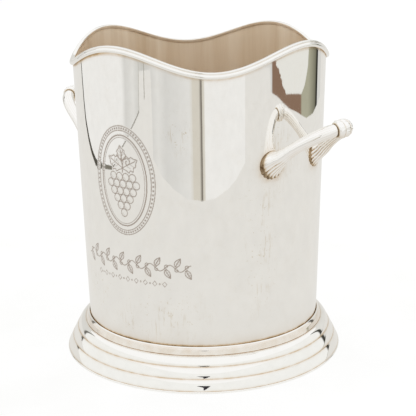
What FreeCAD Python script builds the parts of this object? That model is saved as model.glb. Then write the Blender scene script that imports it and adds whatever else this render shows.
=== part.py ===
"""Silver champagne bucket: tapered wall, wavy rim, stepped foot, two fixed stirrup handles.

Millimetres, +Z up, origin at the middle of the ring the bucket stands on.
The handles are on the X axis and the engraved side faces -Y.
"""
import FreeCAD, Part
import math
import os

V = FreeCAD.Vector

# ---- driving dimensions ------------------------------------------------------------------
# body wall: a cone of sheet silver
WALL_R_LOW, WALL_Z_LOW = 89.4, 29.4        # outer radius where the wall leaves the foot collar
WALL_R_HIGH, WALL_Z_HIGH = 94.0, 201.6     # outer radius near the top, the taper is straight
WALL_BOTTOM = 25.0                         # lower edge, hidden inside the collar
WALL_T = 1.0
FLOOR_Z, FLOOR_T = 26.0, 1.4

# wavy rim: z = RIM_MEAN + RIM_WAVE * cos(RIM_LOBES * angle)
RIM_MEAN, RIM_WAVE, RIM_LOBES = 236.3, 8.2, 4
RIM_SEAT = 0.8                             # depth of the sheet's edge below the top of the rim wire
RIM_WIRE_H, RIM_WIRE_OUT = 4.7, 2.3        # height and stand-out of the rim wire, outside the wall
RIM_INNER_H, RIM_INNER_OUT = 2.8, 0.9      # the same inside the wall
RIM_TOP_FLAT = 0.6                         # how far the flat top runs out before the half-round starts
RIM_POINTS = 64                            # points the wave is drawn through

# stepped foot, outer profile from the collar down: (radius, z) of the creases
COLLAR_TOP = (90.9, 29.4)
CREASES = [(93.0, 23.6), (99.3, 17.4), (103.3, 9.7), (107.2, 1.6)]
REED_BULGE = 0.14                          # bulge of a reed as a share of its chord
SHEET_SHIFT = (-1.7, -0.7)                 # shift from the outer to the inner profile
BASE_WIRE_R, BASE_WIRE_H, BASE_WIRE_W = 106.2, 1.9, 3.0

# handles: half of the centre line, from the wall to the middle of the knop: (x, y, z)
HANDLE_PATH = [(89.0, 25.6, 159.7), (97.0, 25.2, 166.3), (107.6, 22.8, 174.3),
               (118.6, 17.0, 181.4), (127.0, 8.8, 186.0), (129.8, 0.0, 187.0)]
HANDLE_TURN = 2.6                          # degrees, both handles sit round towards the front
ARM_RADII = [(0.0, 10.0), (1.5, 9.5), (4.0, 8.2), (7.0, 6.9), (11.0, 5.7), (16.0, 4.8), (20.0, 4.4),
             (26.0, 4.3), (33.0, 4.5), (40.0, 4.7), (48.0, 4.7), (52.0, 4.5), (54.5, 4.4)]
FOOT_SINK = 1.5                            # how far the foot starts inside the wall before trimming
FOOT_LEAN = 11.0                           # length over which the sections turn from wall to path
RING_POINTS = 24                           # points on each section of an arm
KNOP_RADII = [(0.0, 4.6), (0.5, 5.4), (1.5, 6.2), (3.0, 6.7), (5.0, 6.9)]


# ---- helpers -----------------------------------------------------------------------------
def wall_radius(z):
    """Outer radius of the wall at height z."""
    return WALL_R_LOW + (WALL_R_HIGH - WALL_R_LOW) * (z - WALL_Z_LOW) / (WALL_Z_HIGH - WALL_Z_LOW)


def rim_z(angle):
    return RIM_MEAN + RIM_WAVE * math.cos(RIM_LOBES * angle)


def polar(radius, angle, z):
    return V(radius * math.cos(angle), radius * math.sin(angle), z)


def spin(edges):
    """Solid of revolution about Z from a closed profile in the XZ plane."""
    return Part.Face(Part.Wire(edges)).revolve(V(0, 0, 0), V(0, 0, 1), 360)


def polygon(points):
    """Straight edges through (radius, z) points, closed."""
    corners = [V(r, 0, z) for r, z in points]
    return [Part.makeLine(a, b) for a, b in zip(corners, corners[1:] + corners[:1])]


def bulged(a, b, share):
    """Arc from a to b in the XZ plane that bulges outward by a share of the chord."""
    a, b = V(a[0], 0, a[1]), V(b[0], 0, b[1])
    chord = b - a
    outward = V(-chord.z, 0, chord.x)
    return Part.Arc(a, (a + b) * 0.5 + outward * share, b).toShape()


def cone_solid(offset, z0, z1):
    """Solid cone inside the wall surface moved in or out by an offset."""
    return spin(polygon([(0, z0), (wall_radius(z0) + offset, z0), (wall_radius(z1) + offset, z1), (0, z1)]))


def wave_curve(radius_at, drop):
    """Closed smooth curve that follows the rim wave, lowered by drop."""
    points = []
    for i in range(RIM_POINTS):
        angle = 2 * math.pi * i / RIM_POINTS
        z = rim_z(angle) - drop
        points.append(polar(radius_at(z), angle, z))
    curve = Part.BSplineCurve()
    curve.interpolate(points, True)
    return curve.toShape()


def ring(centre, normal, radius):
    """Points on a circle round a direction; the first one is the lowest, so a skin does not twist."""
    down = normal * normal.z - V(0, 0, 1)
    down.normalize()
    side = normal.cross(down)
    angles = [2 * math.pi * i / RING_POINTS for i in range(RING_POINTS)]
    points = [centre + (down * math.cos(a) + side * math.sin(a)) * radius for a in angles]
    return points + points[:1]


def skin(rings):
    """Solid with one smooth face through all the rings and a flat cap at each end."""
    surface = Part.BSplineSurface()
    surface.interpolate(rings)
    side = surface.toShape()
    caps = []
    for points in (rings[0], rings[-1]):
        edge = min(side.Edges, key=lambda e: e.CenterOfMass.distanceToPoint(middle(points)))
        caps.append(Part.Face(Part.Wire([edge])))
    shell = Part.Shell([side] + caps)
    shell.sewShape()
    solid = Part.Solid(shell)
    if solid.Volume < 0:
        solid.reverse()
    return solid


def middle(points):
    total = V(0, 0, 0)
    for p in points[:-1]:
        total = total + p
    return total * (1.0 / (len(points) - 1))


# ---- body --------------------------------------------------------------------------------
def body_wall():
    top = RIM_MEAN + 2 * RIM_WAVE
    shell = cone_solid(0, WALL_BOTTOM, top).cut(cone_solid(-WALL_T, WALL_BOTTOM - 1, top + 1))
    above = Part.makeRuledSurface(wave_curve(lambda z: wall_radius(z) - 10, RIM_SEAT),
                                  wave_curve(lambda z: wall_radius(z) + 10, RIM_SEAT))
    return shell.cut(above.extrude(V(0, 0, 4 * RIM_WAVE)))


def body_floor():
    low, high = FLOOR_Z, FLOOR_Z + FLOOR_T
    return spin(polygon([(0, low), (wall_radius(low) - WALL_T, low), (wall_radius(high) - WALL_T, high),
                         (0, high)]))


def rim_wire(wall):
    """Wire that straddles the edge of the wall: half-round outside, a small flat lip inside."""
    top = rim_z(0)
    radius = wall_radius(top)
    inner = radius - WALL_T - RIM_INNER_OUT
    half = RIM_WIRE_H / 2
    corners = [V(radius, 0, top - RIM_WIRE_H), V(radius - WALL_T / 2, 0, top - RIM_WIRE_H),
               V(radius - WALL_T / 2, 0, top - RIM_INNER_H), V(inner, 0, top - RIM_INNER_H),
               V(inner, 0, top), V(radius + RIM_TOP_FLAT, 0, top)]
    edges = [Part.makeLine(a, b) for a, b in zip(corners, corners[1:])]
    edges.append(Part.Arc(corners[-1], V(radius + RIM_WIRE_OUT, 0, top - half), corners[0]).toShape())
    sweep = Part.BRepOffsetAPI.MakePipeShell(Part.Wire([wave_curve(wall_radius, 0)]))
    sweep.setBiNormalMode(V(0, 0, 1))
    sweep.add(Part.Wire(edges))
    sweep.build()
    sweep.makeSolid()
    return sweep.shape().cut(wall)


# ---- foot --------------------------------------------------------------------------------
def foot_profile(shift):
    dx, dz = shift
    points = [(r + dx, z + dz) for r, z in [COLLAR_TOP] + CREASES]
    edges = [Part.makeLine(V(points[0][0], 0, points[0][1]), V(points[1][0], 0, points[1][1]))]
    edges += [bulged(a, b, REED_BULGE) for a, b in zip(points[1:], points[2:])]
    return points, edges


def stepped_foot():
    outer, outer_edges = foot_profile((0, 0))
    inner, inner_edges = foot_profile(SHEET_SHIFT)
    ends = [Part.makeLine(V(a[0], 0, a[1]), V(b[0], 0, b[1]))
            for a, b in ((outer[0], inner[0]), (outer[-1], inner[-1]))]
    sheet = spin(Part.__sortEdges__(outer_edges + inner_edges + ends))
    below = Part.makeCylinder(2 * outer[-1][0], 10, V(0, 0, BASE_WIRE_H - 10))
    return sheet.cut(cone_solid(0, 0, COLLAR_TOP[1] + 1)).cut(below)


def foot_base_wire():
    inner, outer = BASE_WIRE_R - BASE_WIRE_W / 2, BASE_WIRE_R + BASE_WIRE_W / 2
    mid = BASE_WIRE_H / 2
    return spin([
        Part.makeLine(V(inner + mid, 0, 0), V(outer - mid, 0, 0)),
        Part.Arc(V(outer - mid, 0, 0), V(outer, 0, mid), V(outer - mid, 0, BASE_WIRE_H)).toShape(),
        Part.makeLine(V(outer - mid, 0, BASE_WIRE_H), V(inner + mid, 0, BASE_WIRE_H)),
        Part.Arc(V(inner + mid, 0, BASE_WIRE_H), V(inner, 0, mid), V(inner + mid, 0, 0)).toShape(),
    ])


# ---- handles -----------------------------------------------------------------------------
def handle_curve():
    """Centre line of the whole right handle, front foot to rear foot."""
    front = [V(x, -y, z) for x, y, z in HANDLE_PATH]
    rear = [V(x, y, z) for x, y, z in HANDLE_PATH[-2::-1]]
    curve = Part.BSplineCurve()
    curve.interpolate(front + rear)
    return curve


def sweep_sections(curve, table, start, lean):
    """Skin over rings along the curve; with lean the first ones lie flat on the wall."""
    rings = []
    for d, radius in table:
        t = curve.parameterAtDistance(start + d, curve.FirstParameter)
        point, along = curve.value(t), V(*curve.tangent(t)[0])
        if lean:
            out = V(point.x, point.y, 0).normalize()
            share = min(1.0, (d / FOOT_LEAN) ** 2)
            along = out * (1 - share) + along * share
            if d == 0:
                rings.append(ring(point - out * FOOT_SINK, out, radius))
        rings.append(ring(point, along.normalize(), radius))
    return skin(rings)


def handle_pieces():
    """Front arm, rear arm and knop of the right handle."""
    curve = handle_curve()
    half = curve.length() / 2
    end = ARM_RADII[-1][0]
    arm = sweep_sections(curve, ARM_RADII, 0, True)
    arm = arm.cut(cone_solid(0, WALL_BOTTOM, RIM_MEAN))
    reach = half - end
    side = [(d, r) for d, r in KNOP_RADII if d < reach]
    table = side + [(reach, KNOP_RADII[-1][1])] + [(2 * reach - d, r) for d, r in reversed(side)]
    knop = sweep_sections(curve, table, end, False)
    rear = arm.mirror(V(0, 0, 0), V(0, 1, 0))
    pieces = {"front_arm": arm, "rear_arm": rear, "knop": knop}
    for piece in pieces.values():
        piece.rotate(V(0, 0, 0), V(0, 0, 1), -HANDLE_TURN)
    return pieces


# ---- assembly ----------------------------------------------------------------------------
def build():
    wall = body_wall()
    nodes = {
        "body_wall": wall,
        "body_floor": body_floor(),
        "rim_wire": rim_wire(wall),
        "stepped_foot": stepped_foot(),
        "foot_base_wire": foot_base_wire(),
    }
    for name, piece in handle_pieces().items():
        nodes["handle_right_" + name] = piece
        nodes["handle_left_" + name] = piece.mirror(V(0, 0, 0), V(1, 0, 0))
    return nodes


os.makedirs("parts", exist_ok=True)
for node, shape in build().items():
    solids = shape.Solids
    box = shape.BoundBox
    print("%-26s solids %d valid %s  volume %.0f mm3  x %.1f..%.1f  y %.1f..%.1f  z %.1f..%.1f" % (
        node, len(solids), shape.isValid(), shape.Volume,
        box.XMin, box.XMax, box.YMin, box.YMax, box.ZMin, box.ZMax))
    solids[0].exportStep("parts/%s.step" % node)
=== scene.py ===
# %% [markdown]
# # Silver champagne bucket
# A bucket for one bottle, made the way a silversmith makes it: a tapered sheet wall with a wavy top edge,
# a moulded wire over that edge, a spun foot with three reeds, and two cast handles.
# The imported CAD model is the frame. Everything below is built in that frame, in metres, with +Z up.

import math
import random

import bpy
import numpy as np
from mathutils import Matrix


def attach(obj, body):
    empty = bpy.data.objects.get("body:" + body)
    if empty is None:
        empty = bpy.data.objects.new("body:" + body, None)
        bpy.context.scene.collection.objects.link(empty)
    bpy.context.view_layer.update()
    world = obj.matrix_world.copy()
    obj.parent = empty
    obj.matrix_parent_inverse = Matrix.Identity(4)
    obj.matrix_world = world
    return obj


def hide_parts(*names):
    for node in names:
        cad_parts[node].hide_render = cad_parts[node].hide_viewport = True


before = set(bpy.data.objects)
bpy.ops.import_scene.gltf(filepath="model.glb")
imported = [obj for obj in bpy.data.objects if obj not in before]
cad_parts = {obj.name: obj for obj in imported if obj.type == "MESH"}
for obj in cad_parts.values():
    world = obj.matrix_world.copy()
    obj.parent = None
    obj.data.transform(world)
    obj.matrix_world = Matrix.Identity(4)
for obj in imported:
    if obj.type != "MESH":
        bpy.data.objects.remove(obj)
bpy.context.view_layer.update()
MM = 0.001
print("frame loaded:", sorted(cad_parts))

# %% [markdown]
# ## The shape in numbers
# These are the driving sizes of the bucket, in millimetres. The wall is a cone, and the top edge rises and
# falls four times on its way round, highest over the handles and over the front and back.

# %% Sizes
WALL_R_LOW, WALL_Z_LOW = 89.4, 29.4
WALL_R_HIGH, WALL_Z_HIGH = 94.0, 201.6
WALL_BOTTOM, WALL_T = 25.0, 1.0
RIM_MEAN, RIM_WAVE, RIM_LOBES = 236.3, 8.2, 4
RIM_SEAT = 0.8                                 # the sheet ends this far below the top of the rim wire
FLOOR_Z, FLOOR_T = 26.0, 1.4


def wall_radius(z):
    """Outer radius of the wall at height z."""
    return WALL_R_LOW + (WALL_R_HIGH - WALL_R_LOW) * (z - WALL_Z_LOW) / (WALL_Z_HIGH - WALL_Z_LOW)


def rim_z(angle):
    """Height of the top edge at an angle round the bucket."""
    return RIM_MEAN + RIM_WAVE * np.cos(RIM_LOBES * angle)


print("mouth %.0f mm across, edge from %.0f to %.0f mm high" % (
    2 * wall_radius(RIM_MEAN), RIM_MEAN - RIM_WAVE, RIM_MEAN + RIM_WAVE))

# %% [markdown]
# ## From a table of points to a mesh
# Every piece here is a surface swept round or along something, so one helper is enough: it takes a table
# of points, rows by columns, and joins neighbours into four-sided faces. Values painted on the points,
# such as how much tarnish and painted shade a spot has, travel with the mesh as attributes that a material
# can read.
# Mirror finishes show every wrong normal, so the helper can also work out the exact smooth normals itself.


# %% Grid helper
def along_tangent(points, axis, closed):
    """Direction of the surface along one axis of the table, exact for uneven spacing."""
    after, before = np.roll(points, -1, axis) - points, points - np.roll(points, 1, axis)
    if not closed:
        pick = [slice(None)] * 3
        first, last = list(pick), list(pick)
        first[axis], last[axis] = slice(0, 1), slice(-1, None)
        before[tuple(first)] = after[tuple(first)]
        after[tuple(last)] = before[tuple(last)]
    h_after = np.linalg.norm(after, axis=2, keepdims=True) + 1e-9
    h_before = np.linalg.norm(before, axis=2, keepdims=True) + 1e-9
    return (after * h_before / h_after + before * h_after / h_before) / (h_after + h_before)


def quads(rows, cols, close_rows, close_cols, start=0):
    """Corner numbers of the faces of a table of points."""
    index = np.arange(rows * cols).reshape(rows, cols) + start
    index = np.concatenate([index, index[:1]], 0) if close_rows else index
    index = np.concatenate([index, index[:, :1]], 1) if close_cols else index
    corners = [index[:-1, :-1], index[:-1, 1:], index[1:, 1:], index[1:, :-1]]
    return np.stack([c.ravel() for c in corners], 1)


def surface(name, sheets, close_rows=False, own_normals=False, sharp=None):
    """Mesh object from sheets, a list of (points, {attribute: values}), each a rows x columns table in mm.
    A sheet goes all the way round unless it has a third entry, False."""
    coords, faces, normals, values, start = [], [], [], {}, 0
    for points, shown, *open_sheet in sheets:
        close_cols = not open_sheet
        rows, cols = points.shape[:2]
        coords.append(points.reshape(-1, 3))
        faces.append(quads(rows, cols, close_rows, close_cols, start))
        normal = np.cross(along_tangent(points, 1, close_cols), along_tangent(points, 0, close_rows))
        normals.append((normal / np.linalg.norm(normal, axis=2, keepdims=True)).reshape(-1, 3))
        for key in shown:
            values.setdefault(key, []).append(np.broadcast_to(shown[key], (rows, cols)).ravel())
        start += rows * cols
    mesh = bpy.data.meshes.new(name)
    mesh.from_pydata((np.concatenate(coords) * MM).tolist(), [], np.concatenate(faces).tolist())
    mesh.polygons.foreach_set("use_smooth", [True] * len(mesh.polygons))
    for key, parts in values.items():
        attribute = mesh.attributes.new(key, "FLOAT", "POINT")
        attribute.data.foreach_set("value", np.concatenate(parts).astype(np.float32))
    if own_normals:
        mesh.normals_split_custom_set_from_vertices(np.concatenate(normals).tolist())
    elif sharp:
        mesh.set_sharp_from_angle(angle=math.radians(sharp))
    piece = bpy.data.objects.new(name, mesh)
    bpy.context.scene.collection.objects.link(piece)
    print("%s: %d faces" % (name, len(mesh.polygons)))
    return piece


def polar(radius, angle, z):
    """Table of points from radii, angles and heights."""
    return np.stack(np.broadcast_arrays(radius * np.cos(angle), radius * np.sin(angle), z), -1)


def azimuth_from(angle, start=0.0):
    """Azimuth in degrees, -180 to 180, counted from a start azimuth; 0 is the front, at angle -90."""
    return (np.degrees(angle) + 90 - start + 180) % 360 - 180


def smoothstep(low, high, x):
    t = np.clip((x - low) / (high - low), 0, 1)
    return t * t * (3 - 2 * t)


# %% [markdown]
# ## The engraving
# The front carries an engraved oval. The design here is a plain one: a bunch of grapes under three leaves,
# inside a beaded oval, with a vine scroll and a row of lozenges below. Each line is cut as a shallow groove.
# The design is drawn as distances: for every point of the wall it is known how far the nearest line is,
# and a point closer than half the line width is pushed in and marked as engraved.

# %% Drawing with distances
ENGRAVING_AT = (math.radians(-87.7), 149.4)    # angle round the bucket and height of the middle of the oval
PANEL = (-55.0, 54.0, -79.0, 42.0)             # left, right, bottom and top of the area, from that middle
CELL = 0.45                                    # mesh spacing inside the panel
GROOVE_DEPTH = 0.10
FADE = 0.28                                    # how far a cut line fades at its edge


def cut(distance, width):
    """1 inside a line of that width, 0 outside it, with a soft edge."""
    return 1 - smoothstep(width / 2 - FADE / 2, width / 2 + FADE / 2, distance)


def to_oval(u, v, a, b):
    """Distance to the line of an oval with half-axes a and b."""
    rho = np.sqrt((u / a) ** 2 + (v / b) ** 2) + 1e-9
    slope = np.sqrt((u / a ** 2) ** 2 + (v / b ** 2) ** 2) / rho
    return np.abs(rho - 1) / (slope + 1e-9)


def to_path(u, v, points):
    """Distance to a chain of straight runs."""
    best = np.full(u.shape, 1e9)
    for (x0, y0), (x1, y1) in zip(points, points[1:]):
        dx, dy = x1 - x0, y1 - y0
        t = np.clip(((u - x0) * dx + (v - y0) * dy) / (dx * dx + dy * dy + 1e-12), 0, 1)
        best = np.minimum(best, np.hypot(u - x0 - t * dx, v - y0 - t * dy))
    return best


def leaf(x, y, length, width, turn, lobes=0):
    """Outline with midrib, and veins, of a leaf that starts at x, y and points along turn (degrees)."""
    c, s = math.cos(math.radians(turn)), math.sin(math.radians(turn))

    def spot(ahead, sideways):
        return x + c * ahead - s * sideways, y + s * ahead + c * sideways

    t = np.linspace(0, 1, 25)
    half = width / 2 * np.sin(math.pi * t ** 0.8) * (1 + 0.18 * np.cos(2 * math.pi * lobes * t) * (lobes > 0))
    sides = [[spot(length * a, side * h) for a, h in zip(t, half)] for side in (1, -1)]
    rib = [spot(0, 0), spot(length * 0.86, 0)]
    veins = [[spot(length * a, 0), spot(length * (a + 0.16), side * width * 0.3)]
             for a in (0.28, 0.5) for side in (1, -1)]
    return sides + [rib], veins


def curl(x, y, radius, start, turns, shrink=0.15):
    """A tendril that winds in on itself."""
    t = np.linspace(0, 1, 30)
    r = radius * (1 - (1 - shrink) * t)
    a = math.radians(start) + 2 * math.pi * turns * t
    cx, cy = x - radius * math.cos(a[0]), y - radius * math.sin(a[0])
    return list(zip(cx + r * np.cos(a), cy + r * np.sin(a)))


# %% The design
SCROLL_V, LOZENGE_V = -61.0, -73.5             # heights of the scroll and of the lozenges
GRAPE_R = 3.0
# count and height of each row of grapes
GRAPE_ROWS = [(4, 3.0), (5, -2.3), (4, -7.6), (3, -12.9), (2, -18.2), (1, -23.4)]
# start, length, width, direction and lobes of the three leaves above the grapes
TOP_LEAVES = [(0.4, 9.5, 14.5, 10.5, 152, 4), (0.4, 9.5, 14.5, 10.5, 28, 4), (0.2, 14.5, 11, 7.5, 98, 3)]


def engraving(u, v):
    """How deeply each point is engraved, 0 to 1; u across and v up from the middle of the oval, in mm."""
    marks = [cut(to_oval(u, v, 26.7, 39.6), 0.6), cut(to_oval(u, v, 23.7, 36.4), 0.6),
             cut(to_oval(u, v, 20.2, 33.0), 0.9), cut(to_oval(u, v, 18.6, 31.4), 0.4)]
    beads = 76
    for i in range(beads):
        a = 2 * math.pi * (i + 0.5) / beads
        marks.append(0.85 * cut(np.hypot(u - 25.2 * math.cos(a), v - 38.0 * math.sin(a)), 1.6))
    for count, height in GRAPE_ROWS:
        for i in range(count):
            x = (i - (count - 1) / 2) * 2 * GRAPE_R * 0.97
            away = np.hypot(u - x, v - height)
            marks.append(cut(np.abs(away - GRAPE_R * 0.93), 0.6))
            marks.append(0.5 * cut(np.abs(away - GRAPE_R * 0.5), 0.4) * (u - x < 0) * (v < height))
    lines = [[(0, 6), (0.6, 11), (-0.8, 16), (1.2, 22)], curl(1.0, 14.0, 3.4, 180, -1.3)]
    veins = []
    for sizes in TOP_LEAVES:
        outline, vein = leaf(*sizes)
        lines += outline
        veins += vein
    # a vine scroll under the oval, and a row of lozenges under that
    t = np.linspace(-1, 1, 161)
    lines.append(list(zip(1.0 + 50 * t, SCROLL_V + 2.4 * np.sin(t * 6.5 * math.pi))))
    for i in range(-6, 7):
        side = 1 if i % 2 else -1
        x, y = 1.0 + i * 7.7, SCROLL_V + 1.3 * side
        outline, vein = leaf(x, y, 7.4, 4.0, 58 * side, 0)
        lines += outline
        veins += vein
        lines.append(curl(x + 1.2, y - 0.6 * side, 1.9, 90 * side, 1.1 * side))
    marks += [cut(to_path(u, v, line), 0.65) for line in lines]
    marks += [0.7 * cut(to_path(u, v, vein), 0.4) for vein in veins]
    for i in range(-8, 9):
        away = np.abs(u - i * 3.9) * 1.1 + np.abs(v - LOZENGE_V)
        marks.append(0.9 * cut(np.abs(away - (1.9 if i % 2 == 0 else 0.6)), 0.65))
    return np.maximum.reduce(marks)


# %% [markdown]
# ## The wall
# One sheet of silver rolled into a cone. The table of points is fine where it is engraved and coarse
# everywhere else. Above the handles the rows bend gradually until the last one follows the wavy edge.
# The sheet has an outside, an edge and an inside, which meet at sharp corners, so each is a table of its own.

# %% Build the wall
def spread(low, high, step):
    return np.linspace(low, high, max(2, int(round(abs(high - low) / step)) + 1))


# where the feet of the handles are soldered on: azimuth from the front in degrees, and height
FEET, FEET_Z = [87.4 - 16, 87.4 + 16, -87.4 - 16, -87.4 + 16], 159.7
# places with old drips and scratches: azimuth from the front (degrees), height, and reach both ways
WORN = [(30, 186, 6, 12), (22, 52, 14, 18), (8, 45, 16, 10), (66, 110, 7, 45), (76, 165, 8, 20),
        (-20, 60, 10, 12), (140, 80, 9, 40), (215, 120, 12, 60), (300, 70, 10, 30)]
# how strong the tarnish and painted shade at the joint under the rim wire are, by azimuth
JOINT_DIRT_AND_SHADE = [(-180, 0.6), (-60, 0.7), (-45, 1.0), (-10, 1.0), (-4, 0.7), (20, 0.45), (80, 0.4), (110, 0.8),
              (180, 0.6)]
FLAT_TOP = 198.0                               # above this height the rows bend towards the wavy edge


# where the collar of the foot, the rim wire and a handle's foot end on the wall: height, drop and radius
COLLAR_END, WIRE_END, HANDLE_FOOT_END = 29.7, 5.4, 10.0


def wall_dirt_and_shade(angle, z):
    """Tarnish along the joints with the foot and the rim, and round the feet of the handles; under the rim
    wire it is painted shade as well as tarnish.
    """
    above_foot = np.maximum(z - COLLAR_END, 0)
    dirt_and_shade = np.maximum(1.3 * np.exp(-above_foot / 0.45), 0.26 * np.exp(-above_foot / 3.5))
    joint = np.interp(azimuth_from(angle), *np.array(JOINT_DIRT_AND_SHADE).T)
    # a dark line on the wall just under the rim wire: tarnish, and painted shade under the wire's overhang
    dirt_and_shade = np.maximum(dirt_and_shade, joint * np.exp(-np.maximum(rim_z(angle) - z - WIRE_END, 0) / 0.6))
    for azimuth in FEET:
        across = np.radians(azimuth_from(angle, azimuth)) * wall_radius(z)
        past_foot = np.maximum(np.hypot(across, z - FEET_Z) - HANDLE_FOOT_END, 0)
        dirt_and_shade = np.maximum(dirt_and_shade, 0.4 * np.exp(-past_foot / 1.8))
    return dirt_and_shade


def wall_wear(angle, z):
    worn = np.zeros(z.shape)
    for azimuth, height, wide, tall in WORN:
        away = azimuth_from(angle, azimuth)
        worn = np.maximum(worn, np.exp(-(away / wide) ** 2 - ((z - height) / tall) ** 2))
    return worn


def outside_sheet(angle, rows_step):
    """Outer surface of the wall over a row of angles, with its engraving and its tarnish."""
    centre, middle = ENGRAVING_AT
    left, right, bottom, top = PANEL
    heights = np.concatenate([
        spread(WALL_BOTTOM, 42, 1.0)[:-1], spread(42, middle + bottom, 4.0)[:-1],
        spread(middle + bottom, middle + top, rows_step)[:-1], spread(middle + top, FLAT_TOP, 2.0)])[:, None]
    rise = 1 - (1 - spread(0, 1, 0.05)[1:, None]) ** 1.4
    z = np.concatenate([np.broadcast_to(heights, (len(heights), angle.size)),
                        FLAT_TOP + (rim_z(angle) - RIM_SEAT - FLAT_TOP) * rise])
    u = (np.mod(angle - centre + math.pi, 2 * math.pi) - math.pi) * wall_radius(middle)
    u = np.broadcast_to(u, z.shape)
    inside = (u > left) & (u < right) & (z > middle + bottom) & (z < middle + top)
    depth = np.zeros(z.shape)
    depth[inside] = engraving(u[inside], z[inside] - middle)
    return polar(wall_radius(z) - GROOVE_DEPTH * depth, angle, z), {
        "engraved": depth, "tarnish": wall_dirt_and_shade(angle, z), "inside": 0.0, "worn": wall_wear(angle, z)}


def wall_piece():
    centre, middle = ENGRAVING_AT
    radius = wall_radius(middle)
    fine = spread(centre + PANEL[0] / radius, centre + PANEL[1] / radius, CELL / radius)[None, :]
    coarse = spread(fine[0, -1], fine[0, 0] + 2 * math.pi, math.radians(1.5))[None, :]
    angle = np.linspace(0, 2 * math.pi, 240, endpoint=False)[None, :]
    edge = rim_z(angle) - RIM_SEAT
    lip = polar(wall_radius(edge) - WALL_T * spread(0, 1, 0.5)[:, None], angle, edge)
    inner_z = edge + (WALL_BOTTOM - edge) * spread(0, 1, 0.05)[:, None] ** 1.5
    inner = polar(wall_radius(inner_z) - WALL_T, angle, inner_z)
    across = WALL_T * (1 - spread(0, 1, 0.5)[:, None])
    foot_edge = polar(wall_radius(WALL_BOTTOM) - across, angle, WALL_BOTTOM)
    nothing = {"engraved": 0.0, "tarnish": 0.0, "inside": 0.0, "worn": 0.0}
    return surface("wall_sheet", [
        outside_sheet(fine, CELL) + (False,), outside_sheet(coarse, 4.0) + (False,), (lip, nothing),
        # the inside, painted dark in a band just under the inner lip of the rim wire: painted shade under the
        # overhang
        (inner, dict(nothing, inside=1.0, tarnish=np.exp(-np.abs(edge - inner_z - 2.2) / 0.8))),
        (foot_edge, nothing)], own_normals=True)


wall = wall_piece()


# %% [markdown]
# ## The floor of the bucket
# A disc soldered inside the wall. It is slightly dished from hammering, so the middle sits a little lower.

# %% Build the floor
def ringed(name, profile, steps=256, sharp=30, closed=True, **shown):
    """Spin a (radius, z) profile round the axis."""
    angle = np.linspace(0, 2 * math.pi, steps, endpoint=False)[None, :]
    profile = np.array(profile, float)
    points = polar(profile[:, :1], angle, profile[:, 1:2])
    values = {key: np.array(v, float)[:, None] for key, v in shown.items()}
    return surface(name, [(points, values)], close_rows=closed, sharp=sharp)


def floor_disc():
    edge = wall_radius(FLOOR_Z) - WALL_T - 0.05
    r = np.concatenate([[0.5], spread(4, edge - 3, 3.0), [edge - 1.5, edge]])
    dish = 0.35 * np.cos(np.clip(r / edge, 0, 1) * math.pi) + 0.35
    low, high = FLOOR_Z, FLOOR_Z + FLOOR_T
    top_side = [(a, high - b) for a, b in zip(r, dish)]
    under = [(a, low) for a in r[::-1]]
    stain_and_shade = [0.4] * (len(r) - 2) + [0.8, 1.0]
    return ringed("bucket_floor", top_side + under, tarnish=stain_and_shade + stain_and_shade[::-1], inside=[1.0] * 2 * len(r))


floor_piece = floor_disc()

# %% [markdown]
# ## The rim moulding
# A drawn wire with a small bead above a half-round. It straddles the edge of the sheet: a narrow lip of it
# shows on the inside. It is a sweep: the cross-section stays upright while it runs round the wave.
# Tarnish stays in the groove between the beads, where no cloth reaches. Along the lower joints, under the
# half-round and under the inner lip, tarnish and painted shade are painted together.

# %% Build the rim moulding
RIM_H, RIM_OUT = 4.7, 2.3               # outside the wall
RIM_IN, RIM_IN_H = 1.9, 2.8             # inside, measured from the outer face of the wall


def bend(out, down, radius, start, end, count, stain_and_shade=0.0, within=0.0):
    """Round part of the cross-section about a middle, between two angles in degrees."""
    turn = np.radians(np.linspace(start, end, count))
    return [(out + radius * math.cos(a), down - radius * math.sin(a), stain_and_shade, within) for a in turn]


def rim_section():
    """Cross-section as (out, down, tarnish and painted shade, inside), from the inner joint over the top to
    the outer joint.
    """
    lower = (RIM_H - 1.45) / 2
    # the underside of the inner lip: tarnish, with painted shade under the overhang
    points = [(-WALL_T, RIM_IN_H, 1.0, 1.0), (-RIM_IN + 0.15, RIM_IN_H, 0.6, 1.0),
              (-RIM_IN, RIM_IN_H - 0.2, 0.2, 1.0), (-RIM_IN, 0.75, 0.0, 1.0)]
    points += bend(-RIM_IN + 0.5, 0.55, 0.5, 170, 95, 6)
    points += bend(0.15, 0.72, 0.72, 92, -35, 12)
    points += [(0.84, 1.42, 0.35, 0.0)]
    points += bend(RIM_OUT - lower, RIM_H - lower, lower, 62, -84, 18)
    # the underside of the half-round at the outer joint: tarnish, with painted shade under the bead
    points += [(0.25, RIM_H, 0.7, 0.0), (0.0, RIM_H, 1.0, 0.0), (-WALL_T / 2, RIM_H, 1.0, 0.0),
               (-WALL_T / 2, RIM_IN_H, 1.0, 1.0)]
    return np.array(points)


# how strong the wire's tarnish and painted shade are, by azimuth: weakest beside the right handle
WIRE_STAIN_AND_SHADE = [(-180, 0.8), (-60, 1.0), (-15, 1.0), (20, 0.8), (80, 0.7), (110, 1.0), (180, 0.8)]


def rim_moulding():
    section = rim_section()
    angle = np.linspace(0, 2 * math.pi, 480, endpoint=False)[None, :]
    z = rim_z(angle) - section[:, 1:2]
    points = polar(wall_radius(z) + section[:, :1], angle, z)
    stain_and_shade_round = np.interp(azimuth_from(angle), *np.array(WIRE_STAIN_AND_SHADE).T)
    shown = {"tarnish": section[:, 2:3] * stain_and_shade_round, "inside": section[:, 3:4]}
    return surface("rim_moulding", [(points, shown)], close_rows=True, sharp=50)


rim = rim_moulding()

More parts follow.
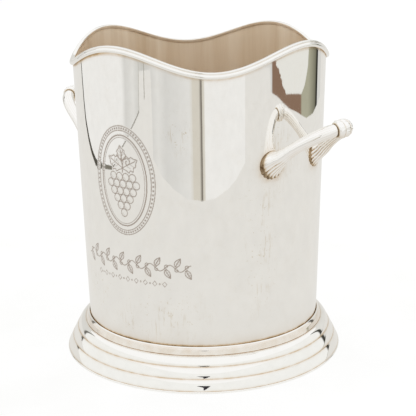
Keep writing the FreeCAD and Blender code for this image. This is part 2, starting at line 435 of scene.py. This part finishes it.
# %% [markdown]
# ## The stepped foot
# A spun foot: a plain conical collar with a rolled top edge, then three reeds, each a bulge between two
# creases. The creases are painted with tarnish and with painted shade, and the material turns them brown.
# The face of the collar is painted with a faint warm tint, a painted reflection of the table.

# %% Build the foot
COLLAR_TOP = (90.9, 29.4)
CREASES = [(93.0, 23.6), (99.3, 17.4), (103.3, 9.7), (107.2, 1.9)]
# curve handles at the shoulder and at the foot of a reed: the top one is fuller, the two below are flatter
FULL_REED, FLAT_REED = ((2.5, -0.05), (2.2, -5.2)), ((0.45, -0.12), (0.75, -2.0))
REED_HANDLES = [FULL_REED, FLAT_REED, FLAT_REED]


def reed(a, b, shoulder, side, count=25):
    """Cubic curve from crease a down and out to crease b."""
    p0, p3 = np.array(a), np.array(b)
    p1, p2 = p0 + np.array(shoulder), p3 - np.array(side)
    t = np.linspace(0, 1, count)[:, None] ** 1.3
    return list((1 - t) ** 3 * p0 + 3 * (1 - t) ** 2 * t * p1 + 3 * (1 - t) * t ** 2 * p2 + t ** 3 * p3)


def foot_piece():
    profile, stain_and_shade = [], []

    def put(point, value):
        profile.append((float(point[0]), float(point[1])))
        stain_and_shade.append(value)

    joint = wall_radius(COLLAR_TOP[1] - 0.6) + 0.02
    put((joint, COLLAR_TOP[1] - 0.75), 1.0)
    for a in np.linspace(165, 20, 9):        # rolled top edge of the collar
        a = math.radians(a)
        put((COLLAR_TOP[0] - 0.62 + 0.68 * math.cos(a), COLLAR_TOP[1] - 0.68 + 0.68 * math.sin(a)), 0.0)
    low = np.array(CREASES[0])
    # the collar's face: a faint warm tint, a painted reflection of the table
    for t in (0.12, 0.5, 0.95):
        put(np.array(COLLAR_TOP) * (1 - t) + low * t + np.array([0.1, 0]), 0.28)
    # the creases: brown tarnish and painted shade, fading within about half a millimetre
    put(low - np.array([0.2, 0.1]), 0.8)
    for a, b, (shoulder, side) in zip(CREASES, CREASES[1:], REED_HANDLES):
        for point in reed(a, b, shoulder, side):
            gap = min(np.linalg.norm(point - a), np.linalg.norm(point - b))
            put(point, 0.75 * math.exp(-gap / 0.5))
        put(np.array(b) - np.array([0.25, 0.1]), 0.8)
    under = [(106.0, 1.9), (104.6, 4.0), (101.6, 8.6), (98.0, 14.6), (92.4, 20.6), (joint + 0.6, 24.2)]
    for point in under:
        put(point, 0.6)
    return ringed("spun_foot", profile, steps=360, sharp=40, tarnish=stain_and_shade)


foot = foot_piece()


BASE_R, BASE_W, BASE_ROUND = 106.2, 3.0, 0.95      # middle radius, width, and radius of its round sides


def base_wire():
    points, stain_and_shade = [], []
    for side in (1, -1):
        for a in np.radians(np.linspace(-90, 90, 9) if side == 1 else np.linspace(90, 270, 9)):
            points.append((BASE_R + side * (BASE_W / 2 - BASE_ROUND) + BASE_ROUND * math.cos(a),
                           BASE_ROUND + BASE_ROUND * math.sin(a)))
            # the top of the wire, where it meets the last reed, is painted dark like a crease: tarnish and
            # painted shade; the inner half is stained
            stain_and_shade.append(0.5 if side == -1 else 0.8 * (math.degrees(a) > 70))
    return ringed("base_wire", points, steps=360, tarnish=stain_and_shade)


standing_wire = base_wire()

# %% [markdown]
# ## The handles
# Each handle is a cast stirrup: a shell-shaped foot on the wall, a fluted arm, and a knop in the middle that
# both arms run into. The flutes fan out over the foot. They are part of the casting, so they are modelled:
# the sections of the arm are not circles but scalloped rings.

# %% Centre line of a handle
HANDLE_PATH = [(89.0, 25.6, 159.7), (97.0, 25.2, 166.3), (107.6, 22.8, 174.3),
               (118.6, 17.0, 181.4), (127.0, 8.8, 186.0), (129.8, 0.0, 187.0)]
HANDLE_TURN = math.radians(2.6)
FOOT_LEAN = 11.0


def smooth_path(points, count):
    """Natural cubic spline through points, as evenly spaced positions."""
    p = np.array(points, float)
    t = np.concatenate([[0], np.cumsum(np.linalg.norm(np.diff(p, axis=0), axis=1))])
    n, h = len(p), np.diff(t)
    system, right = np.eye(n), np.zeros((n, 3))
    for i in range(1, n - 1):
        system[i, i - 1:i + 2] = h[i - 1], 2 * (h[i - 1] + h[i]), h[i]
        right[i] = 6 * ((p[i + 1] - p[i]) / h[i] - (p[i] - p[i - 1]) / h[i - 1])
    curving = np.linalg.solve(system, right)
    s = np.linspace(0, t[-1], 2001)
    k = np.clip(np.searchsorted(t, s, side="right") - 1, 0, n - 2)
    a, b, hk = ((t[k + 1] - s) / h[k])[:, None], ((s - t[k]) / h[k])[:, None], h[k][:, None]
    line = a * p[k] + b * p[k + 1] + ((a ** 3 - a) * curving[k] + (b ** 3 - b) * curving[k + 1]) * hk ** 2 / 6
    run = np.concatenate([[0], np.cumsum(np.linalg.norm(np.diff(line, axis=0), axis=1))])
    even = np.linspace(0, run[-1], count)
    return np.stack([np.interp(even, run, line[:, i]) for i in range(3)], 1), even


OTHER_HALF = HANDLE_PATH[-2::-1]
LINE, RUN = smooth_path([(x, -y, z) for x, y, z in HANDLE_PATH] + OTHER_HALF, 1201)
HALF = RUN[-1] / 2
print("handle centre line %.0f mm long" % RUN[-1])


def swept(stations, radius, stain_and_shade, count=120):
    """Tube along the handle: radius and stain_and_shade (painted tarnish and painted shade) are functions of
    (distance, angle round the section).
    """
    direction = np.gradient(LINE, axis=0)
    direction /= np.linalg.norm(direction, axis=1)[:, None]
    phi = np.linspace(0, 2 * math.pi, count, endpoint=False)
    rings, stains_and_shade = [], []
    for d, lean in stations:
        at = max(d, 0.0)
        point = np.array([np.interp(at, RUN, LINE[:, i]) for i in range(3)])
        ahead = np.array([np.interp(at, RUN, direction[:, i]) for i in range(3)])
        if lean is not None:
            out = np.array([point[0], point[1], 0]) / math.hypot(point[0], point[1])
            ahead = out * (1 - lean) + ahead * lean
            ahead /= np.linalg.norm(ahead)
            point = point + out * min(d, 0.0)
        down = ahead * ahead[2] - np.array([0, 0, 1.0])
        down /= np.linalg.norm(down)
        side = np.cross(ahead, down)
        r = radius(d, phi)[:, None]
        rings.append(point + r * (np.cos(phi)[:, None] * down + np.sin(phi)[:, None] * side))
        stains_and_shade.append(stain_and_shade(d, phi))
    return np.array(rings), np.array(stains_and_shade)


# %% Shape of an arm and of the knop
# radius by distance along the centre line
ARM_TABLE = np.array([(-1.5, 9.9), (1.4, 9.9), (2.0, 9.2), (4.0, 8.1), (7.0, 6.8), (11.0, 5.6), (16.0, 4.7),
                      (20.0, 4.35), (26.0, 4.25), (33.0, 4.45), (40.0, 4.65), (48.0, 4.65), (52.0, 4.5),
                      (54.1, 4.3), (54.5, 3.9)])
FLUTES = 18
ARM_END = 54.5


def flute(d, phi):
    """0 on a ridge and 1 in a groove; the grooves turn slowly along the arm."""
    wave = 0.5 - 0.5 * np.cos(FLUTES * (phi + 0.010 * d))
    return wave ** 2.5


def flute_strength(d, phi):
    """The flutes fan out under the foot, run along the inner side and are polished away on top."""
    fan = smoothstep(0.15, 0.7, np.cos(phi)) * smoothstep(15, 8, d)
    inner_side = smoothstep(0.25, 0.7, 0.75 * np.sin(phi) + 0.45 * np.cos(phi))
    inner_side *= 0.55 + 0.45 * smoothstep(24, 6, d)
    return np.maximum(np.maximum(fan, inner_side), 0.04) * smoothstep(ARM_END, ARM_END - 8, d)


def arm_radius(d, phi):
    base = np.interp(d, ARM_TABLE[:, 0], ARM_TABLE[:, 1])
    return base - 0.13 * base * flute(d, phi) * flute_strength(d, phi) * smoothstep(-1.5, 1.0, d)


def arm_stain_and_shade(d, phi):
    groove = flute(d, phi) * np.sqrt(flute_strength(d, phi))
    # the underside of the arm, away from the foot, painted a little darker: painted shade
    painted_underside_shade = 0.12 * smoothstep(0.2, 1.0, np.cos(phi)) * smoothstep(8, 20, d)
    outer_side = smoothstep(0.0, 0.9, 0.1 * np.cos(phi) - np.sin(phi))
    # the seat against the wall: dark tarnish at the joint, widened on the outer side by painted shade
    seat_stain_and_shade = 1.6 * np.exp(-np.maximum(d - 0.6 - 1.3 * outer_side, 0) / 0.7)
    seam = math.exp(-abs(d - ARM_END) / 0.35)
    return np.clip(groove * 0.6 + painted_underside_shade + seat_stain_and_shade + seam, 0, 1)


KNOP_HALF = HALF - ARM_END
KNOP_TABLE = np.array([(0.0, 4.3), (0.3, 5.2), (1.0, 6.0), (2.2, 6.55), (3.2, 6.45), (3.8, 6.0), (4.3, 6.2),
                       (5.0, 6.75), (6.2, 6.85)])
BUDS = 6


def knop_side(d):
    return np.minimum(d, 2 * KNOP_HALF - d)


def knop_bud(d, phi):
    """Round buds on the middle ring of the knop, 1 on a bud and 0 between two."""
    return np.abs(np.cos(BUDS / 2 * phi)) ** 0.7 * smoothstep(3.8, 4.6, knop_side(d))


def knop_radius(d, phi):
    into = knop_side(d)
    base = np.interp(into, KNOP_TABLE[:, 0], KNOP_TABLE[:, 1])
    petals = 0.25 * np.abs(np.sin(BUDS * phi)) ** 4 * smoothstep(0.8, 1.8, into) * smoothstep(3.8, 3.0, into)
    return base - petals - 0.6 * smoothstep(3.8, 4.6, into) + 0.6 * knop_bud(d, phi)


def knop_stain_and_shade(d, phi):
    grooves = 0.4 * np.exp(-((knop_side(d) - 3.8) / 0.3) ** 2) + np.exp(-(knop_side(d) / 0.25) ** 2)
    # the underside of the knop, painted darker: painted shade
    painted_underside_shade = 0.25 * smoothstep(0.1, 0.9, np.cos(phi))
    return np.clip(grooves + painted_underside_shade, 0, 1)


# %% Build the six castings
def handle_pieces():
    arm_runs = np.concatenate([spread(-1.5, 3.0, 0.3)[:-1], spread(3.0, ARM_END, 0.5)])
    leans = [(d, min(1.0, (max(d, 0) / FOOT_LEAN) ** 2)) for d in arm_runs]
    arm = swept(leans, arm_radius, arm_stain_and_shade)
    knop_runs = [(ARM_END + d, None) for d in spread(0, 2 * KNOP_HALF, 0.15)]
    knop = swept(knop_runs, lambda d, phi: knop_radius(d - ARM_END, phi),
                 lambda d, phi: knop_stain_and_shade(d - ARM_END, phi))
    c, s = math.cos(-HANDLE_TURN), math.sin(-HANDLE_TURN)
    turn = np.array([[c, -s, 0], [s, c, 0], [0, 0, 1]])
    mirror_y, mirror_x = np.diag([1, -1, 1]), np.diag([-1, 1, 1])
    made = {}
    for side, flip in (("right", np.eye(3)), ("left", mirror_x)):
        for part, (points, stains_and_shade), half in (("front_arm", arm, np.eye(3)), ("rear_arm", arm, mirror_y),
                                             ("knop", knop, np.eye(3))):
            matrix = flip @ turn @ half
            placed = points @ matrix.T
            if np.linalg.det(matrix) < 0:
                placed, shown = placed[:, ::-1], stains_and_shade[:, ::-1]
            else:
                shown = stains_and_shade
            name = "handle_%s_%s" % (side, part)
            made[name] = surface("cast_" + name, [(placed, {"tarnish": shown})], sharp=60)
    return made


castings = handle_pieces()

# %% [markdown]
# ## Materials
# The same browns are also painted where shade falls: in creases, under the lips of the rim and under the
# handles.
# Silver plate is a metal with a nearly white, slightly warm reflection. Polish leaves it a mirror with a haze
# of fine scratches, and air turns it yellow, then brown, wherever the cloth does not reach.
# One small function adds a node with its settings and links; colours are written as sRGB hex.


# %% Material helpers
def linear(code):
    """sRGB hex to the linear colour that shaders work in."""
    values = [int(code[i:i + 2], 16) / 255 for i in (1, 3, 5)]
    return tuple(v / 12.92 if v <= 0.04045 else ((v + 0.055) / 1.055) ** 2.4 for v in values) + (1.0,)


def add(tree, kind, inputs=None, **settings):
    """Add one node: settings are its own properties, inputs are values or links for its sockets."""
    node = tree.nodes.new(kind)
    for key, value in settings.items():
        setattr(node, key, value)
    for key, value in (inputs or {}).items():
        if isinstance(value, bpy.types.NodeSocket):
            tree.links.new(value, node.inputs[key])
        else:
            node.inputs[key].default_value = value
    return node


def per_mm(size):
    """Scale of a noise pattern whose features are about size mm across."""
    return 1.0 / (size * MM)


MIX_FACTOR, MIX_A, MIX_B, MIX_OUT = 0, 6, 7, 2      # sockets of a colour mix


def blend_colours(tree, factor, a, b):
    mix = add(tree, "ShaderNodeMix", {MIX_FACTOR: factor, MIX_A: a, MIX_B: b}, data_type="RGBA")
    return mix.outputs[MIX_OUT]


def times(tree, a, b, operation="MULTIPLY"):
    return add(tree, "ShaderNodeMath", {0: a, 1: b}, operation=operation).outputs[0]


def noise(tree, where, size, detail=5.0, rough=0.6, low=0.3, high=0.7, to_low=0.0, to_high=1.0):
    """Noise with features about size mm across, its range low..high stretched to to_low..to_high."""
    raw = add(tree, "ShaderNodeTexNoise", {"Vector": where, "Scale": per_mm(size), "Detail": detail,
                                           "Roughness": rough})
    return add(tree, "ShaderNodeMapRange", {"Value": raw.outputs["Fac"], "From Min": low, "From Max": high,
                                            "To Min": to_low, "To Max": to_high}).outputs[0]


def painted(tree, name):
    return add(tree, "ShaderNodeAttribute", attribute_name=name).outputs["Fac"]


FINGERMARK, OLD_DRIP, GROOVE_DIRT = "#DCCFBA", "#C9B48C", "#8A7564"


def silver(name, bright="#F8F7F4", stain_and_shade_light="#CDB18A", stain_and_shade_dark="#6E5A42", roughness=0.02, stain_and_shade=1.0,
           waviness=0.03, inside=None, engraved=False):
    """Polished silver plate that is brown where its mesh is painted with tarnish and with painted shade."""
    material = bpy.data.materials.new(name)
    material.use_nodes = True
    tree = material.node_tree
    tree.nodes.clear()
    where = add(tree, "ShaderNodeTexCoord").outputs["Object"]
    # tarnish and painted shade: what is painted on the mesh, broken up by noise a few millimetres across
    stain_and_shade_amount = times(tree, times(tree, painted(tree, "tarnish"), noise(tree, where, 9, to_low=0.4)), stain_and_shade)
    # fingermarks: faint soft noise everywhere
    marks = noise(tree, where, 12, detail=6.0, rough=0.7, low=0.5, high=0.8, to_high=0.12)
    colour = blend_colours(tree, marks, linear(bright), linear(FINGERMARK))
    if engraved:
        # old drips and specks: noise stretched down the wall, only where the mesh is painted as worn
        down = add(tree, "ShaderNodeMapping", {"Vector": where, "Scale": (1.0, 1.0, 0.12)}).outputs[0]
        drips = noise(tree, down, 2.5, detail=8.0, rough=0.75, low=0.52, high=0.62)
        specks = noise(tree, where, 3, detail=4.0, rough=0.7, low=0.62, high=0.68)
        both = times(tree, times(tree, drips, noise(tree, where, 16, low=0.45, high=0.65)), specks, "MAXIMUM")
        colour = blend_colours(tree, times(tree, times(tree, painted(tree, "worn"), both), 0.65), colour,
                               linear(OLD_DRIP))
    light = add(tree, "ShaderNodeMapRange", {"Value": stain_and_shade_amount, "From Max": 0.5}).outputs[0]
    colour = blend_colours(tree, light, colour, linear(stain_and_shade_light))
    deep = add(tree, "ShaderNodeMapRange", {"Value": stain_and_shade_amount, "From Min": 0.45, "From Max": 1.0}).outputs[0]
    colour = blend_colours(tree, deep, colour, linear(stain_and_shade_dark))
    # fine scratches make the mirror a little soft, more so where tarnish and painted shade are painted
    scratches = noise(tree, where, 2.2, detail=8.0, rough=0.8)
    rough = times(tree, times(tree, scratches, roughness), roughness * 0.5, "ADD")
    rough = times(tree, rough, times(tree, stain_and_shade_amount, 0.4), "ADD")
    metallic = 1.0
    if inside is not None:
        # the inside is never polished: a dull metal in two colours, streaked downwards
        within = painted(tree, "inside")
        streaked = add(tree, "ShaderNodeMapping", {"Vector": where, "Scale": (1.0, 1.0, 0.06)}).outputs[0]
        dull = blend_colours(tree, noise(tree, streaked, 14), linear(inside[0]), linear(inside[1]))
        colour = blend_colours(tree, within, colour, dull)
        rough = times(tree, rough, times(tree, within, 0.36), "ADD")
        metallic = times(tree, 1.0, times(tree, within, 0.5), "SUBTRACT")
    if engraved:
        # the cut lines hold old dirt, so they are darker and duller
        line = painted(tree, "engraved")
        colour = blend_colours(tree, times(tree, line, 0.78), colour, linear(GROOVE_DIRT))
        rough = times(tree, rough, times(tree, line, 0.35), "ADD")
    # hand work leaves the sheet very slightly wavy
    swell = noise(tree, where, 35, detail=2.0, rough=0.4)
    hammered = add(tree, "ShaderNodeBump", {"Height": swell, "Strength": waviness,
                                            "Distance": 1.0 * MM}).outputs[0]
    fine = add(tree, "ShaderNodeBump", {"Height": scratches, "Strength": 0.01, "Distance": 0.05 * MM,
                                        "Normal": hammered}).outputs[0]
    shader = add(tree, "ShaderNodeBsdfPrincipled", {"Base Color": colour, "Metallic": metallic,
                                                    "Roughness": rough, "Normal": fine})
    add(tree, "ShaderNodeOutputMaterial", {"Surface": shader.outputs[0]})
    return material


# %% Put the finishes on
# the wall: silver plate polished to a mirror, its inside yellowed, with painted shade under the rim wire's
# inner lip
WALL_SILVER = silver("polished_silver_plate_wall", inside=("#F6E9D5", "#DFCBAF"), engraved=True, stain_and_shade=0.85)
# the floor inside, which a cloth hardly reaches: brown and dull
FLOOR_SILVER = silver("tarnished_silver_plate_floor", "#D8C8B2", inside=("#BFA283", "#A68A6E"), roughness=0.2)
# the rim wire: polished by every hand that touches it; only its inner side is yellowed, and its lower joints
# carry tarnish and painted shade
RIM_SILVER = silver("polished_silver_wire_rim", inside=("#F6E9D5", "#DFCBAF"), stain_and_shade=0.9)
# the foot and the wire under it: a mirror with light brown tarnish and painted shade in the creases
FOOT_SILVER = silver("polished_spun_silver_foot", stain_and_shade_dark="#A48C6C", stain_and_shade=0.8)
# the castings: a little softer than the sheet, with dark brown tarnish in the flutes, and painted shade on
# their undersides and at the seats of their feet
HANDLE_SILVER = silver("polished_cast_silver_handle", "#FBFAF8", "#D2BC9C", "#5C452C", roughness=0.06,
                       waviness=0.0)

FINISHES = {"body_wall": (wall, WALL_SILVER, "silver_sheet"),
            "body_floor": (floor_piece, FLOOR_SILVER, "silver_floor"),
            "rim_wire": (rim, RIM_SILVER, "silver_rim"), "stepped_foot": (foot, FOOT_SILVER, "silver_foot"),
            "foot_base_wire": (standing_wire, FOOT_SILVER, "silver_foot")}
for node, piece in castings.items():
    FINISHES[node] = (piece, HANDLE_SILVER, "silver_handle")
for node, (piece, material, slot_name) in FINISHES.items():
    piece.data.materials.append(material)
    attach(piece, "root")
    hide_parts(node)
print("%d pieces finished" % len(FINISHES))

# %% [markdown]
# ## Floor and surroundings
# A mirror shows its surroundings, so the surroundings make the picture. The bucket stands on a white table in
# front of a camera. The table ends about half a metre away on the camera's side, and screens, walls and a
# cupboard are beyond it. The wall of the bucket leans outward, so for this camera it mirrors only what is
# low. Its surroundings are therefore laid out flat, as a ring on the ground that only reflections can see.
# The reeds and the handles look higher, and mirror the camera, the walls and the sky of the later cells.
# Azimuth 0 faces the engraved side and 90 the right handle.

# %% Paper floor and backdrop that the camera sees
def plain_material(name):
    """New material with an empty node tree, and the object coordinates in it."""
    material = bpy.data.materials.new(name)
    material.use_nodes = True
    material.node_tree.nodes.clear()
    return material, material.node_tree, add(material.node_tree, "ShaderNodeTexCoord").outputs["Object"]


def stage_piece(name, corners, faces, material):
    mesh = bpy.data.meshes.new(name)
    mesh.from_pydata(corners, [], faces)
    mesh.materials.append(material)
    piece = bpy.data.objects.new(name, mesh)
    bpy.context.scene.collection.objects.link(piece)
    return piece


SIDE, BACKDROP_HEIGHT = 12.0, 9.0       # metres
paper, tree, where = plain_material("white_paper")
white = blend_colours(tree, noise(tree, where, 120, detail=3.0), linear("#FBFBFA"), linear("#FFFFFF"))
grey = blend_colours(tree, 0.85, white, (0.0, 0.0, 0.0, 1.0))
body = add(tree, "ShaderNodeBsdfPrincipled", {
    "Base Color": grey, "Roughness": 0.95, "Specular IOR Level": 0.1, "Emission Color": white,
    "Emission Strength": 0.87})
add(tree, "ShaderNodeOutputMaterial", {"Surface": body.outputs[0]})
corner = [(-SIDE, -SIDE), (SIDE, -SIDE), (SIDE, SIDE), (-SIDE, SIDE)]
stage_piece("paper_floor", [(x, y, 0) for x, y in corner], [(0, 1, 2, 3)], paper)
# a white wall all round, which only the camera sees, so a low view has no horizon
backdrop = stage_piece("backdrop", [(x, y, z) for z in (0.0, BACKDROP_HEIGHT) for x, y in corner],
                       [(k, (k + 1) % 4, (k + 1) % 4 + 4, k + 4) for k in range(4)], paper)
backdrop.visible_glossy = backdrop.visible_diffuse = backdrop.visible_shadow = False

# %% Where the table ends, and what is beyond, by azimuth
TABLE = "#EAE8E4"
TABLE_NEAR, ROOM_FAR = 0.10, 3.5        # metres from the axis
# distance of the table's edge, in metres, by azimuth
TABLE_EDGE = [(-180, 3.0), (-92, 3.0), (-89, 1.27), (-88, 1.08), (-86, 0.92), (-81, 0.79), (-75, 0.70),
              (-69, 0.65), (-57, 0.635), (-44, 0.633), (-35, 0.72), (-22, 0.83), (-14.5, 0.93), (-14, 1.25),
              (-3, 1.25), (-2, 0.68), (6, 0.61), (16, 0.555), (27, 0.52), (39, 0.51), (51, 0.52), (62, 0.555),
              (70, 0.60), (77, 0.66), (78, 1.25), (101, 1.25), (102, 1.07), (110, 1.03), (122, 0.965),
              (147, 0.905), (160, 0.95), (167, 1.01), (177, 1.1), (178, 3.0), (180, 3.0)]
# the few finishes in the room
WHITE, PALE, MIST, GREY = "#F4F3F1", "#E7E6E3", "#DCDBD8", "#CFCEC9"
BEIGE, BROWN, OLIVE, DIM_OLIVE = "#DAD5CA", "#8C7260", "#B0AE9A", "#7E7C6C"
DARK, BLACK = "#6C655C", "#282824"
BEYOND = [(-180, MIST), (-100, GREY), (-90, GREY),              # rear wall
          (-89, WHITE), (-32, WHITE),                           # big screen on the left
          (-28, MIST), (-20, PALE), (-11, GREY), (-3, MIST),    # its folded edge
          (3, PALE), (10, MIST), (30, PALE),                    # curtain
          (34, BEIGE), (38, BEIGE), (40, DARK), (41, BEIGE), (42, BEIGE),      # door with a dark slit
          (43, WHITE), (80, WHITE),                             # big screen in front
          (84, PALE), (103, MIST),                              # grey card
          (104, BROWN), (138, BROWN), (140, OLIVE), (150, OLIVE), (163, DIM_OLIVE),  # cupboard and its side
          (166, BLACK), (168, BLACK), (169, MIST), (180, MIST)]


def table_edge(azimuth):
    return np.interp(azimuth, *np.array(TABLE_EDGE).T)


def around(azimuth, distance, height=0.0):
    """Point at an azimuth in degrees and a distance from the axis in metres."""
    a = np.radians(azimuth)
    return np.stack(np.broadcast_arrays(distance * np.sin(a), -distance * np.cos(a), height), -1)


print("the table edge is %.2f m away under the camera" % table_edge(39))

# %% Lay out the ring
def glow(name, mottle=0.05, size=80):
    """Card that shines with the colours painted on its mesh, slightly mottled."""
    material, tree, where = plain_material(name)
    hue = add(tree, "ShaderNodeCombineColor", {"Red": painted(tree, "red"), "Green": painted(tree, "green"),
                                               "Blue": painted(tree, "blue")}).outputs[0]
    power = noise(tree, where, size, to_low=1 - mottle, to_high=1.0)
    shader = add(tree, "ShaderNodeEmission", {"Color": hue, "Strength": power})
    add(tree, "ShaderNodeOutputMaterial", {"Surface": shader.outputs[0]})
    return material


def reflected(name, sheets, material):
    """Piece made of point sheets with colours, which only shows in reflections."""
    painted_sheets = []
    for points, colour in sheets:
        shown = dict(zip(("red", "green", "blue"), np.moveaxis(np.asarray(colour), -1, 0)))
        painted_sheets.append((points / MM, shown, False))
    piece = surface(name, painted_sheets)
    piece.data.materials.append(material)
    piece.visible_camera = piece.visible_diffuse = piece.visible_shadow = False
    return piece


def rgb(code):
    return np.array(linear(code)[:3])


azimuths = np.linspace(-180, 180, 1441)[None, :]


def colour_round(stops):
    """Colour at every azimuth of the ring, from (azimuth, finish) stops."""
    places = [azimuth for azimuth, code in stops]
    hues = np.array([rgb(code) for azimuth, code in stops])
    return np.stack([np.interp(azimuths, places, hues[:, i]) for i in range(3)], -1)


RING_HEIGHT, PATCH_HEIGHT, BAND_HEIGHT = 0.001, 0.003, 0.004       # metres above the floor, so none touch
edge = table_edge(azimuths)
near = np.array([[0.0], [0.35], [1.0]])
far = np.array([[0.0], [0.12], [0.4], [1.0]])
table_colour = rgb(TABLE) * np.ones((len(near), azimuths.size, 1))
room_colour = colour_round(BEYOND) * np.ones((len(far), 1, 1))
reflected("table_and_room", [
    (around(azimuths, TABLE_NEAR + (edge - TABLE_NEAR) * near, RING_HEIGHT), table_colour),
    (around(azimuths, edge + (ROOM_FAR - edge) * far, RING_HEIGHT), room_colour)],
    glow("table_and_room_light"))


# %% Cards and lines on the ring
GLOW = glow("card_light", 0.03, 40)


def patch(name, spots, code):
    """Flat card: the first (azimuth, distance) spot is its middle, the others run round it."""
    corners = np.array([around(a, d, PATCH_HEIGHT) for a, d in spots[1:] + spots[1:2]])
    middle = around(*spots[0], PATCH_HEIGHT) + 0 * corners
    colour = np.broadcast_to(rgb(code), (2, len(corners), 3))
    return reflected(name, [(np.stack([middle, corners]), colour)], GLOW)


def band(name, spots, width, code):
    """Strip along (azimuth, distance) spots, width metres wide."""
    points = np.array([around(a, d, BAND_HEIGHT) for a, d in spots])
    ahead = np.gradient(points, axis=0)
    side = np.stack([-ahead[:, 1], ahead[:, 0], 0 * ahead[:, 0]], 1)
    side *= width / 2 / np.linalg.norm(side, axis=1)[:, None]
    colour = rgb(code) * np.ones((2, len(spots), 1))
    return reflected(name, [(np.stack([points + side, points - side]), colour)], GLOW)


random.seed(7)


def torn(spots, steps, rough):
    """Ragged line through (azimuth, distance) spots."""
    line = []
    for (a0, d0), (a1, d1) in zip(spots, spots[1:]):
        for t in np.arange(steps) / steps:
            line.append((a0 + (a1 - a0) * t + random.uniform(-rough, rough), d0 + (d1 - d0) * t))
    return line + [spots[-1]]


# a screen with a torn-looking edge; both ragged lines are drawn in this order
SCREEN_LEFT = torn([(106, 2.4), (105.5, 1.5), (108, 1.28), (113, 1.17), (118, 1.06)], 7, 0.9)
SCREEN_NEAR = torn([(119, 1.05), (139, 1.06)], 6, 0.4)
SCREEN_RIGHT = [(144, 1.14), (149, 1.35), (152, 2.4), (128, 2.4)]
patch("white_screen", [(128, 1.7)] + SCREEN_LEFT + SCREEN_NEAR + SCREEN_RIGHT, "#EBEAE5")
band("table_rim_left", [(-91, 3.0), (-89.5, 1.6), (-89, 1.27), (-88, 1.08), (-86, 0.923), (-81, 0.79),
                        (-75, 0.704), (-69, 0.653), (-60, 0.638)], 0.034, "#55524A")
band("table_rim_left_end", [(-60, 0.638), (-52, 0.633), (-44, 0.634)], 0.022, "#7E7A70")
band("table_rim_middle", [(-44, 0.634), (-35, 0.72), (-22, 0.83), (-14.5, 0.93)], 0.009, "#8A867C")
band("screen_edge", [(-14.5, 0.93), (-14, 1.6), (-13.8, 2.6)], 0.008, "#BDBAB2")
band("screen_gap", [(-9.2, 1.0), (-9.1, 1.6), (-9.0, 2.6)], 0.01, "#9C988C")

# %% [markdown]
# ## Light and camera
# The sky is white overhead and light grey towards the horizon. The camera stands in front of it: in the reeds
# of the foot it is a small dark wedge.

# %% The camera on its stand, seen in reflections
def upright(name, azimuth, distance, corners, code):
    """Card that faces the bucket; corners are (sideways, height) in metres."""
    middle, side = around(azimuth, distance), around(azimuth + 90, 1.0)
    points = np.array([middle + side * s + np.array([0, 0, h]) for s, h in corners])
    colour = rgb(code) * np.ones((2, len(corners), 1))
    return reflected(name, [(np.stack([points.mean(0) + 0 * points, points]), colour)], GLOW)


upright("camera_body", 38.3, 0.86, [(-0.085, 0.385), (0.085, 0.385), (0.0, 0.292)], "#38363A")

# %% White walls of the room, with a dark edge on either side
ROOM_HEIGHT = 1.9
WALLS = [(-180, "#E6E5E1"), (-96, "#DEDDD9"), (-93, "#6E6C66"), (-91, "#6E6C66"), (-89, "#FAFAF8"),
         (162, "#FAFAF8"), (164, "#45443F"), (167, "#45443F"), (169, "#E6E5E1"), (180, "#E6E5E1")]
heights = np.array([[0.0], [0.4], [1.0]]) * ROOM_HEIGHT
wall_colour = colour_round(WALLS) * np.ones((len(heights), 1, 1))
reflected("room_walls", [(around(azimuths, ROOM_FAR, heights), wall_colour)],
          glow("room_wall_light", 0.05, 400))

# %% World
world = bpy.data.worlds.new("white_studio")
bpy.context.scene.world = world
world.use_nodes = True
tree = world.node_tree
tree.nodes.clear()
where = add(tree, "ShaderNodeTexCoord").outputs["Generated"]
upward = add(tree, "ShaderNodeSeparateXYZ", {0: where}).outputs["Z"]
ramp = add(tree, "ShaderNodeValToRGB", {"Fac": upward})
# colours by how far up a ray points: 0 is level, 1 is straight up
SKY = [(0.0, "#C4C3BF"), (0.10, "#D6D5D2"), (0.20, "#F2F2F0"), (0.32, "#FFFFFF"), (1.0, "#FFFFFF")]
for k, (height, code) in enumerate(SKY):
    stop = ramp.color_ramp.elements[k] if k < 2 else ramp.color_ramp.elements.new(height)
    stop.position, stop.color = height, linear(code)
sky = add(tree, "ShaderNodeBackground", {"Color": ramp.outputs[0], "Strength": 1.0})
add(tree, "ShaderNodeOutputWorld", {"Surface": sky.outputs[0]})
bpy.context.scene.view_settings.view_transform = "Standard"

# %% Camera
# where the lens is (degrees, metres, metres), then how far it looks down, its heading and its roll (degrees)
CAMERA_AZIMUTH, CAMERA_AWAY, CAMERA_HEIGHT = 39.05, 0.8512, 0.3423
CAMERA_DOWN, CAMERA_HEADING, CAMERA_ROLL = 15.375, 38.72, -0.797
camera_data = bpy.data.cameras.new("camera")
camera_data.lens, camera_data.sensor_width = 98.15, 36.0
camera_data.clip_start, camera_data.clip_end = 0.05, 50.0
camera = bpy.data.objects.new("camera", camera_data)
bpy.context.scene.collection.objects.link(camera)
camera.location = around(CAMERA_AZIMUTH, CAMERA_AWAY, CAMERA_HEIGHT).tolist()
camera.rotation_euler = (Matrix.Rotation(math.radians(CAMERA_HEADING), 4, "Z")
                         @ Matrix.Rotation(math.radians(90 - CAMERA_DOWN), 4, "X")
                         @ Matrix.Rotation(math.radians(CAMERA_ROLL), 4, "Z")).to_euler()
bpy.context.scene.camera = camera
